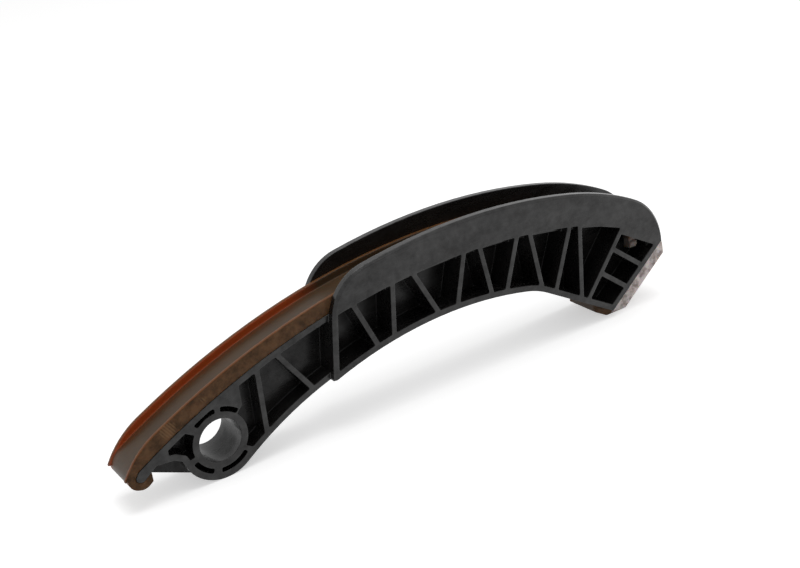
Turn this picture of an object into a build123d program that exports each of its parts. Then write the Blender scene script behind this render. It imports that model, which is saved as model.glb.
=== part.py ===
from build123d import *
from math import atan2, cos, degrees, hypot, radians, sin, sqrt
import os

# Timing chain tensioner rail: a black ribbed carrier and the brown slide liner clipped over it.
# Millimetres. The origin is the middle of the pivot bore, +X runs to the free end,
# +Y runs along the bore and +Z is up as the rail stands on its boss and its foot.
# Points are (X, Z). Those whose name ends in _drop are (X, drop below the crown) instead,
# because they go up and down with the running line.

# Pivot boss
bore_diameter = 12.0
ring_wall = 1.8
slot_width = 1.4
boss_wall = 1.8

# Widths along the bore
liner_width = 12.0
side_clearance = 0.1
cheek_thickness = 2.4
web_thickness = 2.0

# Running line, the arc that the tops of the liner's lips follow
running_radius = 202.0
crown_x = 77.0
crown_height = 31.4
roll_angle = 18.2
roll_radius = 20.4

# Liner
liner_base = 2.0
lip_height = 2.1
lip_width = 1.0
seat_gap = 0.15
hook_end_x = -19.4
foot_hook_x = 125.8
lip_fade_start_x = -16.5
lip_fade_end_drop = (-26.5, 32.6)
lip_end_height = -5.0
end_lip_reach = 6.1

# Cheeks
cheek_rise = 5.1
cheek_crown_x = 79.5
cheek_radius = 180.0
cheek_corner_radius = 14.0
cheek_shoulder_x = 118.0
cheek_fall_drop = (141.65, 7.6)
cheek_end_reach = 27.3
cheek_overlap = 0.25
cheek_bevel = 0.7

# Carrier outline
flange_thickness = 1.7
rib_thickness = 1.4
pocket_rounding = 0.45
smallest_pocket = 3.0
step_foot = (33.6, 4.5)
step_head_drop = (36.0, 7.8)
flange_leave_angle = -54.6
belly_height = 11.4
belly_x = 72.9
belly_radius = 115.6
pad_start = (106.0, 5.65)
pad_blend = 25.0
end_foot = (130.6, -8.85)
end_angle = 38.6

# Nose, arch and skirt at the pivot end
nose_shoulder_x = -22.6
nose_tip_drop = (-24.2, 33.5)
nose_heel_drop = (-22.0, 34.25)
nose_root_drop = (-17.9, 31.3)
arch_top = (-13.2, -0.4)
arch_haunch = (-11.1, -1.6)
arch_foot_angle = 207.5
shoulder_rounding = 2.5
tip_rounding = 1.0
heel_rounding = 0.8
skirt_angle = 245.9
skirt_length = 14.6
nose_solid_x = -14.2

# Slots round the ring and the solid lobes that hold it, in degrees from +X
ring_slots = ((46, 81), (91, 134), (205, 247), (262, 318))
lower_lobe = (194, 327)
upper_lobe = (44, 148)
upper_lobe_reach = 7.5

# Ribs as stations along X, at the top flange and at the bottom flange
narrow_ribs = ((13.2, 13.0), (18.6, 28.9))
truss_ribs = (
    (42.2, 48.6),
    (54.9, 53.3),
    (61.6, 69.0),
    (78.6, 74.5),
    (84.0, 86.9),
    (97.0, 91.5),
    (101.6, 104.7),
    (116.1, 109.0),
    (119.8, 118.8),
)
end_rib_foot = (121.6, -1.6)
end_rib_head_drop = (136.0, 14.8)
cross_rib_shares = (0.36, 0.70)
end_ceiling_drop = ((119.0, 8.7), (135.0, 14.5), (135.6, 16.8), (149.5, 24.8))

# Clip tabs of the liner, through slots in the top flange
tab_x = 142.3
tab_length = 2.6
tab_width = 2.6
tab_offset = 4.2
tab_drop = 23.8
tab_barb = 0.5
barb_height = 2.0
tab_clearance = 0.2

# Sizes that follow from the ones above
bore_radius = bore_diameter / 2
ring_radius = bore_radius + ring_wall
slot_radius = ring_radius + slot_width
boss_radius = slot_radius + boss_wall
floor_height = -boss_radius
core_width = liner_width + 2 * side_clearance
liner_depth = liner_base + lip_height
bearing_depth = liner_depth + seat_gap
cheek_depth = bearing_depth + cheek_overlap
run_centre = (crown_x, crown_height - running_radius)
roll_centre = (
    crown_x + (running_radius - roll_radius) * sin(radians(roll_angle)),
    run_centre[1] + (running_radius - roll_radius) * cos(radians(roll_angle)),
)
cheek_centre = (cheek_crown_x, crown_height + cheek_rise - cheek_radius)
belly_centre = (belly_x, belly_height - belly_radius)
tab_bottom = crown_height - tab_drop
outside = 60.0


def below_crown(place):
    """Point from its X and its drop below the crown of the running line."""
    return (place[0], crown_height - place[1])


def on_arc(centre, radius, x):
    """Point of an arc's upper side at a station along X."""
    return (x, centre[1] + sqrt(radius**2 - (x - centre[0]) ** 2))


def polar(radius, angle, centre=(0.0, 0.0)):
    """Point at a radius and an angle about a centre."""
    return (
        centre[0] + radius * cos(radians(angle)),
        centre[1] + radius * sin(radians(angle)),
    )


def heading(start, end):
    """Angle from one point to another, in degrees."""
    return degrees(atan2(end[1] - start[1], end[0] - start[0]))


def between(start, end, share):
    """Point at a share of the way from start to end."""
    return (start[0] + share * (end[0] - start[0]), start[1] + share * (end[1] - start[1]))


def leave_circle(centre, radius, start, angle):
    """Point where a ray from start, inside a circle, leaves it."""
    step = polar(1.0, angle)
    back = (start[0] - centre[0], start[1] - centre[1])
    along = back[0] * step[0] + back[1] * step[1]
    reach = -along + sqrt(along**2 - back[0] ** 2 - back[1] ** 2 + radius**2)
    return (start[0] + reach * step[0], start[1] + reach * step[1])


nose_tip = below_crown(nose_tip_drop)
nose_heel = below_crown(nose_heel_drop)
nose_root = below_crown(nose_root_drop)
lip_fade_end = below_crown(lip_fade_end_drop)
step_head = below_crown(step_head_drop)
cheek_fall = below_crown(cheek_fall_drop)
end_rib_head = below_crown(end_rib_head_drop)
end_ceiling = [below_crown(place) for place in end_ceiling_drop]
pad_break = leave_circle(belly_centre, belly_radius, pad_start, heading(end_foot, pad_start))
flange_leave = polar(boss_radius, flange_leave_angle)
leave_chord = hypot(step_foot[0] - flange_leave[0], step_foot[1] - flange_leave[1])
leave_turn = heading(flange_leave, step_foot) - flange_leave_angle
narrow_radius = leave_chord / (2 * cos(radians(leave_turn)))
narrow_centre = polar(narrow_radius, flange_leave_angle, flange_leave)
skirt_start = polar(boss_radius, skirt_angle)
skirt_end = polar(skirt_length, skirt_angle - 90, skirt_start)
cheek_end = polar(cheek_end_reach, end_angle, end_foot)


def round_corner(outline, corner, radius):
    """Rounds the corner of a sketch that lies nearest to a point."""
    nearest = outline.vertices().sort_by_distance(Vector(*corner))[0]
    fillet(nearest, radius)


def polygon(*points):
    """Face inside a closed run of straight lines."""
    with BuildSketch() as face:
        with BuildLine():
            Polyline(*points, close=True)
        make_face()
    return face.sketch


def ring_sector(inner, outer, first, last):
    """Face of the part of a ring about the bore that lies between two angles."""
    middle = (first + last) / 2
    with BuildSketch() as sector:
        with BuildLine():
            Line(polar(inner, first), polar(outer, first))
            ThreePointArc(polar(outer, first), polar(outer, middle), polar(outer, last))
            Line(polar(outer, last), polar(inner, last))
            ThreePointArc(polar(inner, last), polar(inner, middle), polar(inner, first))
        make_face()
    return sector.sketch


def end_top(depth):
    """Point where the end face meets the bearing line at a depth under the running line."""
    return leave_circle(roll_centre, roll_radius - depth, end_foot, end_angle)


def core_outline(depth):
    """Face of the carrier's core, with its bearing line at a depth under the running line."""
    bearing_radius = running_radius - depth
    nose_shoulder = on_arc(run_centre, bearing_radius, nose_shoulder_x)
    roll_start = polar(bearing_radius, 90 - roll_angle, run_centre)
    run_middle = on_arc(run_centre, bearing_radius, (nose_shoulder_x + roll_start[0]) / 2)
    roll_end = end_top(depth)
    roll_turn = (90 - roll_angle + heading(roll_centre, roll_end)) / 2
    roll_middle = polar(roll_radius - depth, roll_turn, roll_centre)
    leave_heading = (-flange_leave[1], flange_leave[0])
    arch_foot = polar(boss_radius, arch_foot_angle)
    boss_bottom = polar(boss_radius, (arch_foot_angle + 360 + flange_leave_angle) / 2)
    with BuildSketch() as outline:
        with BuildLine():
            ThreePointArc(nose_shoulder, run_middle, roll_start)
            ThreePointArc(roll_start, roll_middle, roll_end)
            Line(roll_end, end_foot)
            Line(end_foot, pad_break)
            ThreePointArc(pad_break, on_arc(belly_centre, belly_radius, belly_x), step_foot)
            TangentArc(flange_leave, step_foot, tangent=leave_heading)
            ThreePointArc(flange_leave, boss_bottom, arch_foot)
            Polyline(arch_foot, arch_haunch, arch_top, nose_root, nose_heel, nose_tip, nose_shoulder)
        make_face()
        round_corner(outline, nose_shoulder, shoulder_rounding)
        round_corner(outline, nose_tip, tip_rounding)
        round_corner(outline, nose_heel, heel_rounding)
        round_corner(outline, nose_root, heel_rounding)
        round_corner(outline, pad_break, pad_blend)
    return outline.sketch


def side_outline():
    """Face of the wide side plate: the cheek above, the ribbed wall below, stepped at its left."""
    corner = leave_circle(cheek_centre, cheek_radius, step_foot, heading(step_foot, step_head))
    cheek_crown = on_arc(cheek_centre, cheek_radius, cheek_crown_x)
    cheek_shoulder = on_arc(cheek_centre, cheek_radius, cheek_shoulder_x)
    fall_tangent = polar(1.0, heading(cheek_centre, cheek_shoulder) - 90)
    with BuildSketch() as outline:
        with BuildLine():
            ThreePointArc(corner, cheek_crown, cheek_shoulder)
            fall = TangentArc(cheek_shoulder, cheek_fall, tangent=fall_tangent)
            TangentArc(cheek_fall, cheek_end, tangent=fall % 1)
            Line(cheek_end, end_foot)
            Line(end_foot, pad_break)
            ThreePointArc(pad_break, on_arc(belly_centre, belly_radius, belly_x), step_foot)
            Line(step_foot, corner)
        make_face()
        round_corner(outline, corner, cheek_corner_radius)
        round_corner(outline, pad_break, pad_blend)
    return outline.sketch


def rib_lines():
    """Centre lines of all the ribs, from the top or the left to the bottom or the right."""
    beside = polar(rib_thickness / 2, heading(step_foot, step_head) - 90)
    step_rib = [(point[0] + beside[0], point[1] + beside[1]) for point in (step_head, step_foot)]
    top_radius = running_radius - bearing_depth
    lines = [step_rib, (end_rib_head, end_rib_foot)]
    for head_x, foot_x in narrow_ribs:
        foot = on_arc(narrow_centre, narrow_radius, foot_x)
        lines.append((on_arc(run_centre, top_radius, head_x), foot))
    for head_x, foot_x in truss_ribs:
        foot = on_arc(belly_centre, belly_radius, foot_x)
        if foot_x > pad_break[0]:
            foot = between(end_foot, pad_break, (foot_x - end_foot[0]) / (pad_break[0] - end_foot[0]))
        lines.append((on_arc(run_centre, top_radius, head_x), foot))
    for share in cross_rib_shares:
        wall_point = between(end_foot, end_top(bearing_depth), share)
        lines.append((between(end_rib_foot, end_rib_head, share), wall_point))
    return lines


def rib_pattern():
    """Faces of all the ribs."""
    with BuildSketch() as ribs:
        for start, end in rib_lines():
            middle = between(start, end, 0.5)
            with Locations(Location((*middle, 0), (0, 0, heading(start, end)))):
                Rectangle(hypot(end[0] - start[0], end[1] - start[1]), rib_thickness)
    return ribs.sketch


def boss_lobes():
    """Solid parts of the boss between the ring and the flanges, with the slots left out."""
    reach = 2 * boss_radius
    corner = (upper_lobe_reach, upper_lobe_reach * sin(radians(upper_lobe[0])) / cos(radians(upper_lobe[0])))
    upper = polygon((0, 0), corner, (upper_lobe_reach, reach), polar(reach, upper_lobe[1]))
    lower = ring_sector(bore_radius, boss_radius + slot_width, *lower_lobe)
    nose = polygon((nose_solid_x, -reach), (nose_solid_x, reach), (-outside, reach), (-outside, -reach))
    slots = [ring_sector(ring_radius, slot_radius, *slot) for slot in ring_slots]
    with BuildSketch() as solid:
        add([upper, lower, nose])
        add(slots, mode=Mode.SUBTRACT)
        Circle(ring_radius)
    return solid.sketch


def pocket_field(depth, kept):
    """Pockets inside the flanges, under a bearing line at a depth, less the faces in kept."""
    above = crown_height + cheek_rise
    cover = polygon(*end_ceiling, (end_ceiling[-1][0], above), (end_ceiling[0][0], above))
    with BuildSketch() as field:
        add(core_outline(depth))
        offset(amount=-flange_thickness)
        add([cover, *kept], mode=Mode.SUBTRACT)
    cells = [cell for cell in field.faces() if cell.area > smallest_pocket]
    with BuildSketch() as rounded:
        add(cells)
        offset(amount=-pocket_rounding)
        offset(amount=pocket_rounding)
    return rounded.sketch


def end_lip():
    """Face of the deeper lip beyond the core's end face, with its straight outer edge."""
    edge_start = polar(end_lip_reach, end_angle - 90, end_foot)
    edge_end = polar(outside, end_angle, edge_start)
    wall_end = polar(outside, end_angle, end_foot)
    with BuildSketch() as lip:
        with Locations(roll_centre):
            Circle(roll_radius)
        add(polygon(end_foot, edge_start, edge_end, wall_end), mode=Mode.INTERSECT)
    return lip.sketch


def liner_band(thickness, added, removed):
    """Face of the liner's wrap up to a thickness, with the faces in added, less those in removed."""
    top_radius = running_radius - bearing_depth
    inside = polygon(
        (hook_end_x, -outside),
        (hook_end_x, nose_root[1]),
        between(step_foot, step_head, 0.5),
        between((crown_x, belly_height), on_arc(run_centre, top_radius, crown_x), 0.5),
        (foot_hook_x, end_rib_foot[1]),
        (foot_hook_x, -outside),
    )
    under_floor = polygon(
        (crown_x, floor_height),
        (crown_x, -outside),
        (3 * outside, -outside),
        (3 * outside, floor_height),
    )
    with BuildSketch() as seat:
        add(core_outline(bearing_depth))
        offset(amount=seat_gap)
    with BuildSketch() as band:
        add(seat.sketch)
        offset(amount=thickness)
        add(added)
        add([seat.sketch, inside, under_floor, *removed], mode=Mode.SUBTRACT)
    return band.sketch


def lip_ends():
    """Faces that clear the lips away at the hook and under the foot."""
    fade_start = on_arc(run_centre, running_radius, lip_fade_start_x)
    fade_tangent = polar(1.0, heading(run_centre, fade_start) + 90)
    with BuildSketch() as hook_clear:
        with BuildLine():
            TangentArc(fade_start, lip_fade_end, tangent=fade_tangent)
            Polyline(
                lip_fade_end,
                (hook_end_x, lip_fade_end[1]),
                (hook_end_x, -outside),
                (-outside, -outside),
                (-outside, outside),
                (lip_fade_start_x, outside),
                fade_start,
            )
        make_face()
    foot_clear = polygon(
        (end_foot[0], lip_end_height),
        (crown_x, lip_end_height),
        (crown_x, -outside),
        (end_foot[0], -outside),
    )
    return hook_clear.sketch, foot_clear


core = core_outline(bearing_depth)
side = side_outline()
ribs = rib_pattern()
lobes = boss_lobes()
inner_pockets = pocket_field(bearing_depth, (ribs, lobes))
outer_pockets = pocket_field(cheek_depth - flange_thickness, (ribs,))
skirt = polygon(skirt_end, skirt_start, (skirt_start[0], 0), (skirt_end[0], 0))

with BuildPart() as plate:
    with BuildSketch(Plane.XZ.offset(core_width / 2)):
        add(side)
        add(outer_pockets, mode=Mode.SUBTRACT)
    extrude(amount=cheek_thickness)
    rim = plate.faces().sort_by(Axis.Y)[0].outer_wire().edges()
    chamfer(rim.filter_by(lambda edge: (edge @ 0.5).Z > belly_height), cheek_bevel)

with BuildPart() as carrier:
    with BuildSketch(Plane.XZ):
        add(core)
        add(skirt)
    extrude(amount=web_thickness / 2)
    with BuildSketch(Plane.XZ):
        add(core)
    extrude(amount=core_width / 2)
    with BuildSketch(Plane.XZ.offset(web_thickness / 2)):
        add(inner_pockets)
    extrude(amount=(core_width - web_thickness) / 2, mode=Mode.SUBTRACT)
    add(plate)
    mirror(about=Plane.XZ)
    with BuildSketch(Plane.XZ):
        Circle(bore_radius)
    extrude(amount=core_width, both=True, mode=Mode.SUBTRACT)
    with BuildSketch(Plane.XY.offset(tab_bottom)):
        with Locations((tab_x, tab_offset), (tab_x, -tab_offset)):
            Rectangle(tab_length + 2 * tab_clearance, tab_width + 2 * tab_clearance)
    extrude(amount=crown_height, mode=Mode.SUBTRACT)

base_face = liner_band(liner_base, (), ())
lip_face = liner_band(liner_depth, (end_lip(),), lip_ends())
tab_top = on_arc(roll_centre, roll_radius - lip_height - liner_base / 4, tab_x + tab_length / 2)[1]
tab_sides = (tab_offset - tab_width / 2, tab_offset + tab_width / 2)

with BuildPart() as liner:
    with BuildSketch(Plane.XZ):
        add(base_face)
    extrude(amount=liner_width / 2)
    with BuildSketch(Plane.XZ.offset(liner_width / 2 - lip_width)):
        add(lip_face)
    extrude(amount=lip_width)
    with BuildSketch(Plane.YZ.offset(tab_x - tab_length / 2)):
        with BuildLine():
            Polyline(
                (-tab_sides[0], tab_top),
                (-tab_sides[0], tab_bottom),
                (-tab_sides[1], tab_bottom),
                (-tab_sides[1] - tab_barb, tab_bottom + barb_height / 2),
                (-tab_sides[1] - tab_barb, tab_bottom + barb_height),
                (-tab_sides[1], tab_bottom + barb_height),
                (-tab_sides[1], tab_top),
                close=True,
            )
        make_face()
    extrude(amount=tab_length)
    mirror(about=Plane.XZ)

carrier.part.label = "carrier"
liner.part.label = "liner"
os.makedirs("parts", exist_ok=True)
export_step(carrier.part, "parts/carrier.step")
export_step(liner.part, "parts/liner.step")
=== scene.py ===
from math import tau
import bpy
from mathutils import Matrix, Vector


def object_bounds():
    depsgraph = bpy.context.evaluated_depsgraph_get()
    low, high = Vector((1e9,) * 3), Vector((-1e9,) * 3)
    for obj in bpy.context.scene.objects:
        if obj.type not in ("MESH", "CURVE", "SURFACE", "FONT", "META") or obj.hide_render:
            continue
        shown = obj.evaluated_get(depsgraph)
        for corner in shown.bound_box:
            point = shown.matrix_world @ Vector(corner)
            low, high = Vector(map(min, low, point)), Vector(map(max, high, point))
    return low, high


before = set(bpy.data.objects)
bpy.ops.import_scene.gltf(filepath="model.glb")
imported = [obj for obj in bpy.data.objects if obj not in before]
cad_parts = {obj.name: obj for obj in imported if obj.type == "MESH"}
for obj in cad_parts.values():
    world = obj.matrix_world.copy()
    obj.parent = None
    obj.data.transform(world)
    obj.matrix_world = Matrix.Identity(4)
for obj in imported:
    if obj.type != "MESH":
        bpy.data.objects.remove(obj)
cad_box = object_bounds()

MM = 0.001

# The camera as worked out from the photograph: metres in the part's frame, lens and sensor in mm
CAMERA_AT = Vector((-0.10529, -0.28204, 0.16231))
CAMERA_RIGHT = Vector((0.82730, -0.54960, -0.11627))
CAMERA_UP = Vector((0.30956, 0.27330, 0.91076))
CAMERA_LENS = 58.5
SENSOR_WIDTH = 36.0
CLIP_RANGE = (0.01, 20.0)

# The studio, in metres: a white room with one soft lamp above, and a floor at the part's lowest point
FLOOR_Z = cad_box[0][2]
FLOOR_HALF_WIDTH = 3.0
FLOOR_GREY = 0.8
FLOOR_GLOW = 0.5
ROOM_SEEN = 1.0
ROOM_LIGHT = 0.5
WHITE = 1.0
LAMP_AT = Vector((0.1, -0.04, 0.8))
LAMP_TARGET = Vector((0.06, 0.0, 0.01))
LAMP_SIZE = (0.5, 0.5)
LAMP_WATTS = 2.6

# Noise patterns: scale per metre, detail and roughness
BLACK_CLOUD = (85.0, 4.0, 0.6)
BLACK_FLOW = (260.0, 4.0, 0.65)
BLACK_BLOTCH = (150.0, 5.0, 0.7)
BLACK_MOTTLE = (420.0, 4.0, 0.62)
BLACK_GRAIN = (2100.0, 2.0, 0.6)
BLACK_SCRATCH = (900.0, 3.0, 0.7)
BROWN_CLOUD = (70.0, 4.0, 0.55)
BROWN_MOTTLE = (330.0, 4.0, 0.65)
BROWN_GRAIN = (1500.0, 2.0, 0.6)
BROWN_STREAK = (900.0, 3.0, 0.6)

# Pattern scales along x, y and z, where a small one draws a pattern out, and a turn in radians
FLOW_STRETCH = (0.35, 1.0, 1.0)
SCRATCH_STRETCH = (0.12, 1.0, 1.6)
SCRATCH_TURN = (0.0, 0.35, 0.0)
STREAK_STRETCH = (0.12, 1.0, 0.4)

# Black plastic: linear colours, the pattern levels a blend runs between, and shares
BLACK_DEEP = (0.0026, 0.0024, 0.0025)
BLACK_PALE = (0.0085, 0.0078, 0.0076)
BLACK_LEVELS = (0.32, 0.7)
SCUFF_COLOUR = (0.024, 0.022, 0.021)
SCUFF_LEVELS = (0.6, 0.76)
SCUFF_SHARE = 0.5
DUST_COLOUR = (0.016, 0.0145, 0.0135)
DUST_LEVELS = (0.52, 0.8)
DUST_SHARE = 0.5

# Black plastic: gloss and relief, with less gloss near the middle plane, inside the pockets, as
# painted shade
BLACK_ROUGHNESS = 0.12
BLOTCH_ROUGHNESS = 0.3
SCUFF_ROUGHNESS = 0.25
BLACK_SHINE = -0.05
MOTTLE_SHINE = 0.5
BLOTCH_SHINE = 0.5
POCKET_SHADE_SHINE = 0.5
OUTER_SHINE = 1.0
POCKET_HALF_WIDTH = 3.0 * MM
POCKET_FADE = 2.5 * MM
BLACK_GRAIN_RELIEF = 0.35
BLOTCH_RELIEF = 3.0
BLACK_EDGE = 0.35 * MM
BLACK_BUMP = 0.3
BLACK_BUMP_DEPTH = 0.06 * MM

# Brown plastic: linear colours, the pattern levels a blend runs between, and shares
BROWN_DEEP = (0.044, 0.0245, 0.0105)
BROWN_PALE = (0.062, 0.034, 0.0145)
BROWN_LEVELS = (0.3, 0.7)
STREAK_COLOUR = (0.072, 0.043, 0.021)
STREAK_SHARE = 0.3
# Painted light: an orange glow on the slide beside the far lip, from light shining through it from
# behind
BACKLIT_GLOW_COLOUR = (0.11, 0.028, 0.006)
BACKLIT_GLOW_SHARE = 0.6
# Painted light: the orange glow of light shining through the lips from behind, on their inner faces
LIP_BACKLIT_GLOW = (0.33, 0.055, 0.008)
OLIVE_DEEP = (0.052, 0.026, 0.0105)
OLIVE_PALE = (0.125, 0.064, 0.03)
OLIVE_LEVELS = (0.36, 0.62)
MARK_COLOUR = (0.26, 0.15, 0.075)
MARK_SHARE = 0.42
# Painted highlight: a lighter colour on the lips' upward faces, where light from above falls
LIP_TOP_HIGHLIGHT_COLOUR = (0.135, 0.056, 0.018)
LIP_TOP_HIGHLIGHT_SHARE = 0.7
# A pale mottled colour on the end wrap
PALE_WRAP_DEEP = (0.34, 0.28, 0.26)
PALE_WRAP_BRIGHT = (0.78, 0.71, 0.69)
PALE_WRAP_LEVELS = (0.38, 0.56)
TAB_COLOUR = (0.2, 0.165, 0.15)

# Brown plastic: gloss, relief and the light that soaks in
BROWN_ROUGHNESS = 0.34
STREAK_ROUGHNESS = 0.16
SLIDE_SHINE = 0.3
SIDE_SHINE = 0.1
BROWN_GRAIN_RELIEF = 0.25
BROWN_EDGE = 0.8 * MM
BROWN_BUMP = 0.2
BROWN_BUMP_DEPTH = 0.05 * MM
SOAK_SHARE = 0.3
SOAK_REACH = 1.2 * MM
SOAK_BY_COLOUR = (1.0, 0.35, 0.12)

# Where the brown plastic changes, in metres in the part's frame
LIP_START = 4.6 * MM
LIP_FADE = 0.4 * MM
# Where the painted orange glow lies on the slide, beside the far lip
BACKLIT_GLOW_START = 2.6 * MM
BACKLIT_GLOW_FADE = 2.2 * MM
CHEEKS_BEGIN = 40.0 * MM
CHEEKS_FADE = 10.0 * MM
NEAR_SIDE = 5.35 * MM
NEAR_SIDE_FADE = 0.25 * MM
MARKS = (
    (Vector((-13.2, -6.0, 8.3)) * MM, 2.6 * MM),
    (Vector((-2.5, -6.0, 12.7)) * MM, 1.1 * MM),
)
MARK_EDGE = 0.8 * MM
MARK_PITCH = 0.7 * MM
MARK_CONTRAST = 0.5
MARK_RUN = (0.83, 0.0, 0.55)
WRAP_RUN = (0.66, 0.0, -0.75)
WRAP_START = 94.8 * MM
WRAP_FADE = 0.8 * MM
TAB_AT = Vector((143.5, -4.5, 7.5)) * MM
TAB_REACH = 4.5 * MM
TAB_EDGE = 1.0 * MM

# Which way the brown faces point: 1 is outward or up, -1 is inward or down
SIDE_START = -0.45
SIDE_FADE = 0.5
INSIDE_END = 0.25
INSIDE_FADE = 5.0 / 6.0
TOP_START = 0.4
TOP_FADE = 1.0 / 3.0

PLASTIC_IOR = 1.5
BEVEL_SAMPLES = 8

# The colour mix node's sockets, which share their names with others
MIX_FIRST, MIX_SECOND, MIX_RESULT = 6, 7, 2


def shade(colour):
    """A socket as it is, or a grey number or three linear numbers with an alpha of 1."""
    if isinstance(colour, bpy.types.NodeSocket):
        return colour
    if isinstance(colour, (int, float)):
        return (colour, colour, colour, 1.0)
    return (*colour, 1.0)


class Nodes:
    """Short calls for building the node tree of one material or world."""

    def __init__(self, owner):
        owner.use_nodes = True
        self.owner = owner
        self.tree = owner.node_tree
        self.tree.nodes.clear()

    def node(self, kind, links=None, **settings):
        made = self.tree.nodes.new(kind)
        for key, value in settings.items():
            setattr(made, key, value)
        for socket, value in (links or {}).items():
            if isinstance(value, bpy.types.NodeSocket):
                self.tree.links.new(value, made.inputs[socket])
            else:
                made.inputs[socket].default_value = value
        return made

    def math(self, operation, *values, clamp=False):
        links = dict(enumerate(values))
        made = self.node("ShaderNodeMath", links, operation=operation, use_clamp=clamp)
        return made.outputs["Value"]

    def measure(self, operation, first, second):
        """One number from two vectors, such as their distance."""
        links = {0: first, 1: second}
        return self.node("ShaderNodeVectorMath", links, operation=operation).outputs["Value"]

    def times(self, *values):
        """The product of any number of values."""
        product = values[0]
        for value in values[1:]:
            product = self.math("MULTIPLY", product, value)
        return product

    def weighted(self, start, *terms):
        """A start value plus each term's value times its weight."""
        total = start
        for value, weight in terms:
            total = self.math("MULTIPLY_ADD", value, weight, total)
        return total

    def between(self, share, first, last):
        """The number that lies at a share of the way from first to last."""
        return self.weighted(first, (share, last - first))

    def rise(self, value, start, width):
        """0 up to a start, then up to 1 over a width."""
        past = self.math("SUBTRACT", value, start)
        return self.math("MULTIPLY", past, 1.0 / width, clamp=True)

    def fall(self, value, end, width):
        """1 until a width before the end, then down to 0 at the end."""
        left = self.math("SUBTRACT", end, value)
        return self.math("MULTIPLY", left, 1.0 / width, clamp=True)

    def near(self, where, place, reach, edge):
        """1 around a place, then down to 0 at its reach over a soft edge."""
        return self.fall(self.measure("DISTANCE", where, place), reach, edge)

    def parts(self, vector):
        return self.node("ShaderNodeSeparateXYZ", {"Vector": vector}).outputs

    def stretched(self, where, scale, turn=(0.0, 0.0, 0.0)):
        links = {"Vector": where, "Rotation": turn, "Scale": scale}
        return self.node("ShaderNodeMapping", links).outputs["Vector"]

    def noise(self, where, pattern):
        scale, detail, roughness = pattern
        links = {"Vector": where, "Scale": scale, "Detail": detail, "Roughness": roughness}
        return self.node("ShaderNodeTexNoise", links).outputs["Fac"]

    def ramp(self, value, levels, first, last):
        """A blend of two colours as a value goes from one level to the other."""
        made = self.node("ShaderNodeValToRGB", {"Fac": value})
        for stop, level, colour in zip(made.color_ramp.elements, levels, (first, last)):
            stop.position = level
            stop.color = shade(colour)
        return made.outputs["Color"]

    def mix(self, share, first, second):
        links = {0: share, MIX_FIRST: shade(first), MIX_SECOND: shade(second)}
        return self.node("ShaderNodeMix", links, data_type="RGBA").outputs[MIX_RESULT]

    def relief(self, height, edge, strength, depth):
        """A normal with sharp edges rounded and fine relief added."""
        soft = self.node("ShaderNodeBevel", {"Radius": edge}, samples=BEVEL_SAMPLES)
        links = {"Strength": strength, "Distance": depth, "Height": height}
        links["Normal"] = soft.outputs["Normal"]
        return self.node("ShaderNodeBump", links).outputs["Normal"]

    def seen(self):
        """1 for a ray that shows the room itself: in view, in a gloss or through glass."""
        paths = self.node("ShaderNodeLightPath").outputs
        direct = self.math("ADD", paths["Is Camera Ray"], paths["Is Glossy Ray"])
        return self.math("ADD", direct, paths["Is Transmission Ray"], clamp=True)

    def plastic(self, links):
        shader = self.node("ShaderNodeBsdfPrincipled", {"IOR": PLASTIC_IOR, **links})
        return self.finish("ShaderNodeOutputMaterial", shader.outputs["BSDF"])

    def finish(self, kind, surface):
        self.node(kind, {"Surface": surface})
        return self.owner


def carrier_material():
    """Black glass-filled plastic: satin sheen over near-black, mottled, with handling scuffs; less
    sheen in the pockets is painted shade.
    """
    n = Nodes(bpy.data.materials.new("black_plastic"))
    where = n.node("ShaderNodeTexCoord").outputs["Object"]
    flow_space = n.stretched(where, FLOW_STRETCH)
    scratch_space = n.stretched(where, SCRATCH_STRETCH, SCRATCH_TURN)
    cloud = n.noise(where, BLACK_CLOUD)
    mottle = n.noise(where, BLACK_MOTTLE)
    grain = n.noise(where, BLACK_GRAIN)
    flow = n.noise(flow_space, BLACK_FLOW)
    blotch = n.noise(flow_space, BLACK_BLOTCH)
    scratch = n.noise(scratch_space, BLACK_SCRATCH)

    scuffs = n.times(n.ramp(scratch, SCUFF_LEVELS, 0.0, 1.0), SCUFF_SHARE)
    dust = n.times(n.ramp(flow, DUST_LEVELS, 0.0, 1.0), DUST_SHARE)
    colour = n.ramp(cloud, BLACK_LEVELS, BLACK_DEEP, BLACK_PALE)
    colour = n.mix(scuffs, colour, SCUFF_COLOUR)
    colour = n.mix(dust, colour, DUST_COLOUR)

    rough = n.weighted(BLACK_ROUGHNESS, (blotch, BLOTCH_ROUGHNESS), (scuffs, SCUFF_ROUGHNESS))
    shine = n.weighted(BLACK_SHINE, (mottle, MOTTLE_SHINE), (blotch, BLOTCH_SHINE))
    # Painted shade: the sheen is lowered deep in the pockets, near the middle plane, where little
    # light reaches
    from_middle = n.math("ABSOLUTE", n.parts(where)["Y"])
    outside_pocket_shade = n.rise(from_middle, POCKET_HALF_WIDTH, POCKET_FADE)
    shine = n.times(shine, n.between(outside_pocket_shade, POCKET_SHADE_SHINE, OUTER_SHINE))
    height = n.weighted(0.0, (grain, BLACK_GRAIN_RELIEF), (blotch, BLOTCH_RELIEF))
    return n.plastic({
        "Base Color": colour,
        "Roughness": rough,
        "Normal": n.relief(height, BLACK_EDGE, BLACK_BUMP, BLACK_BUMP_DEPTH),
        "Specular IOR Level": shine,
    })


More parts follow.
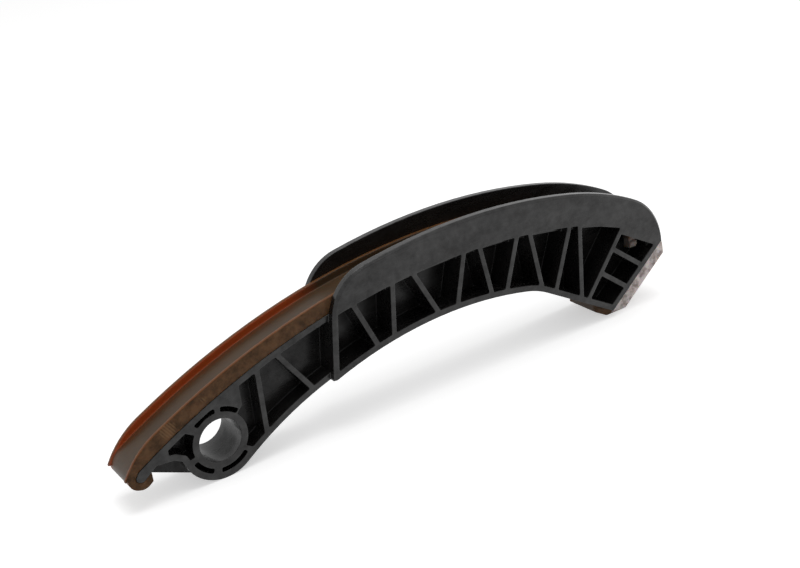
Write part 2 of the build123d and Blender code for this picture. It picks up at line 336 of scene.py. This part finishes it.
def liner_material():
    """Brown slide plastic: an orange painted glow inside its lips, olive on its sides, lighter
    painted tops, pale end wrap.
    """
    n = Nodes(bpy.data.materials.new("brown_plastic"))
    where = n.node("ShaderNodeTexCoord").outputs["Object"]
    at = n.parts(where)
    facing = n.parts(n.node("ShaderNodeNewGeometry").outputs["Normal"])
    cloud = n.noise(where, BROWN_CLOUD)
    mottle = n.noise(where, BROWN_MOTTLE)
    grain = n.noise(where, BROWN_GRAIN)
    streak = n.noise(n.stretched(where, STREAK_STRETCH), BROWN_STREAK)

    # The slide itself, with painted light beside the far lip where no cheek stands: an orange glow
    # shining through
    before_cheeks = n.fall(at["X"], CHEEKS_BEGIN, CHEEKS_FADE)
    backlit_glow = n.times(n.rise(at["Y"], BACKLIT_GLOW_START, BACKLIT_GLOW_FADE), before_cheeks, BACKLIT_GLOW_SHARE)
    colour = n.ramp(cloud, BROWN_LEVELS, BROWN_DEEP, BROWN_PALE)
    colour = n.mix(n.times(streak, STREAK_SHARE), colour, STREAK_COLOUR)
    colour = n.mix(backlit_glow, colour, BACKLIT_GLOW_COLOUR)

    # The lips: olive on their outer sides; orange on their inner ones is a painted glow of light from
    # behind
    lip = n.rise(n.math("ABSOLUTE", at["Y"]), LIP_START, LIP_FADE)
    outward = n.times(facing["Y"], n.math("SIGN", at["Y"]))
    side = n.times(lip, n.rise(outward, SIDE_START, SIDE_FADE))
    inside_glow = n.times(lip, n.fall(outward, INSIDE_END, INSIDE_FADE), before_cheeks)
    colour = n.mix(side, colour, n.ramp(mottle, OLIVE_LEVELS, OLIVE_DEEP, OLIVE_PALE))
    colour = n.mix(inside_glow, colour, LIP_BACKLIT_GLOW)

    # Two small patches of comb-like marks on the near side
    near_side = n.rise(n.times(at["Y"], -1.0), NEAR_SIDE, NEAR_SIDE_FADE)
    teeth = n.math("SINE", n.times(n.measure("DOT_PRODUCT", where, MARK_RUN), tau / MARK_PITCH))
    comb = n.math("MULTIPLY_ADD", teeth, MARK_CONTRAST, mottle, clamp=True)
    for place, reach in MARKS:
        patch = n.near(where, place, reach, MARK_EDGE)
        colour = n.mix(n.times(patch, comb, near_side, MARK_SHARE), colour, MARK_COLOUR)

    # The lips' upward faces made lighter as a painted highlight, then the end wrap and the clip tab
    top = n.times(lip, n.rise(facing["Z"], TOP_START, TOP_FADE), LIP_TOP_HIGHLIGHT_SHARE)
    wrap = n.rise(n.measure("DOT_PRODUCT", where, WRAP_RUN), WRAP_START, WRAP_FADE)
    tab = n.near(where, TAB_AT, TAB_REACH, TAB_EDGE)
    colour = n.mix(top, colour, LIP_TOP_HIGHLIGHT_COLOUR)
    colour = n.mix(wrap, colour, n.ramp(mottle, PALE_WRAP_LEVELS, PALE_WRAP_DEEP, PALE_WRAP_BRIGHT))
    colour = n.mix(tab, colour, TAB_COLOUR)

    height = n.weighted(n.math("ADD", streak, mottle), (grain, BROWN_GRAIN_RELIEF))
    return n.plastic({
        "Base Color": colour,
        "Roughness": n.weighted(BROWN_ROUGHNESS, (streak, STREAK_ROUGHNESS)),
        "Normal": n.relief(height, BROWN_EDGE, BROWN_BUMP, BROWN_BUMP_DEPTH),
        "Specular IOR Level": n.between(side, SLIDE_SHINE, SIDE_SHINE),
        "Subsurface Weight": SOAK_SHARE,
        "Subsurface Radius": SOAK_BY_COLOUR,
        "Subsurface Scale": SOAK_REACH,
    })


def floor_material():
    """White floor that keeps the object's shadow and shows white beyond it."""
    n = Nodes(bpy.data.materials.new("white_floor"))
    strength = n.times(n.seen(), FLOOR_GLOW)
    lit = n.node("ShaderNodeBsdfDiffuse", {"Color": shade(FLOOR_GREY)}).outputs["BSDF"]
    glow = n.node("ShaderNodeEmission", {"Color": shade(WHITE), "Strength": strength})
    both = n.node("ShaderNodeAddShader", {0: lit, 1: glow.outputs["Emission"]})
    return n.finish("ShaderNodeOutputMaterial", both.outputs["Shader"])


def add_floor():
    half = FLOOR_HALF_WIDTH
    mesh = bpy.data.meshes.new("floor")
    corners = [(-half, -half, 0), (half, -half, 0), (half, half, 0), (-half, half, 0)]
    mesh.from_pydata(corners, [], [(0, 1, 2, 3)])
    mesh.materials.append(floor_material())
    floor = bpy.data.objects.new("floor", mesh)
    floor.location = (0, 0, FLOOR_Z)
    bpy.context.scene.collection.objects.link(floor)


def set_world():
    """A white room: full white where it is seen or reflected, softer as light."""
    n = Nodes(bpy.data.worlds.new("studio"))
    strength = n.between(n.seen(), ROOM_LIGHT, ROOM_SEEN)
    sky = n.node("ShaderNodeBackground", {"Color": shade(WHITE), "Strength": strength})
    bpy.context.scene.world = n.finish("ShaderNodeOutputWorld", sky.outputs["Background"])


def add_camera():
    camera = bpy.data.objects.new("camera", bpy.data.cameras.new("camera"))
    bpy.context.scene.collection.objects.link(camera)
    back = CAMERA_RIGHT.cross(CAMERA_UP).normalized()
    up = back.cross(CAMERA_RIGHT).normalized()
    right = up.cross(back)
    turn = Matrix((right, up, back)).transposed().to_4x4()
    camera.matrix_world = Matrix.Translation(CAMERA_AT) @ turn
    camera.data.lens = CAMERA_LENS
    camera.data.sensor_width = SENSOR_WIDTH
    camera.data.clip_start, camera.data.clip_end = CLIP_RANGE
    bpy.context.scene.camera = camera


def add_lamp():
    """One soft lamp above, aimed near the part's middle."""
    lamp = bpy.data.objects.new("top_soft", bpy.data.lights.new("top_soft", "AREA"))
    lamp.data.shape = "RECTANGLE"
    lamp.data.size, lamp.data.size_y = LAMP_SIZE
    lamp.data.energy = LAMP_WATTS
    bpy.context.scene.collection.objects.link(lamp)
    turn = (LAMP_TARGET - LAMP_AT).to_track_quat("-Z", "Y")
    lamp.matrix_world = Matrix.Translation(LAMP_AT) @ turn.to_matrix().to_4x4()


def dress(node, material):
    node.data.materials.clear()
    node.data.materials.append(material)


add_camera()
set_world()
add_floor()
add_lamp()
dress(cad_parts["carrier"], carrier_material())
dress(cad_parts["liner"], liner_material())
bpy.context.scene.view_settings.view_transform = "Standard"
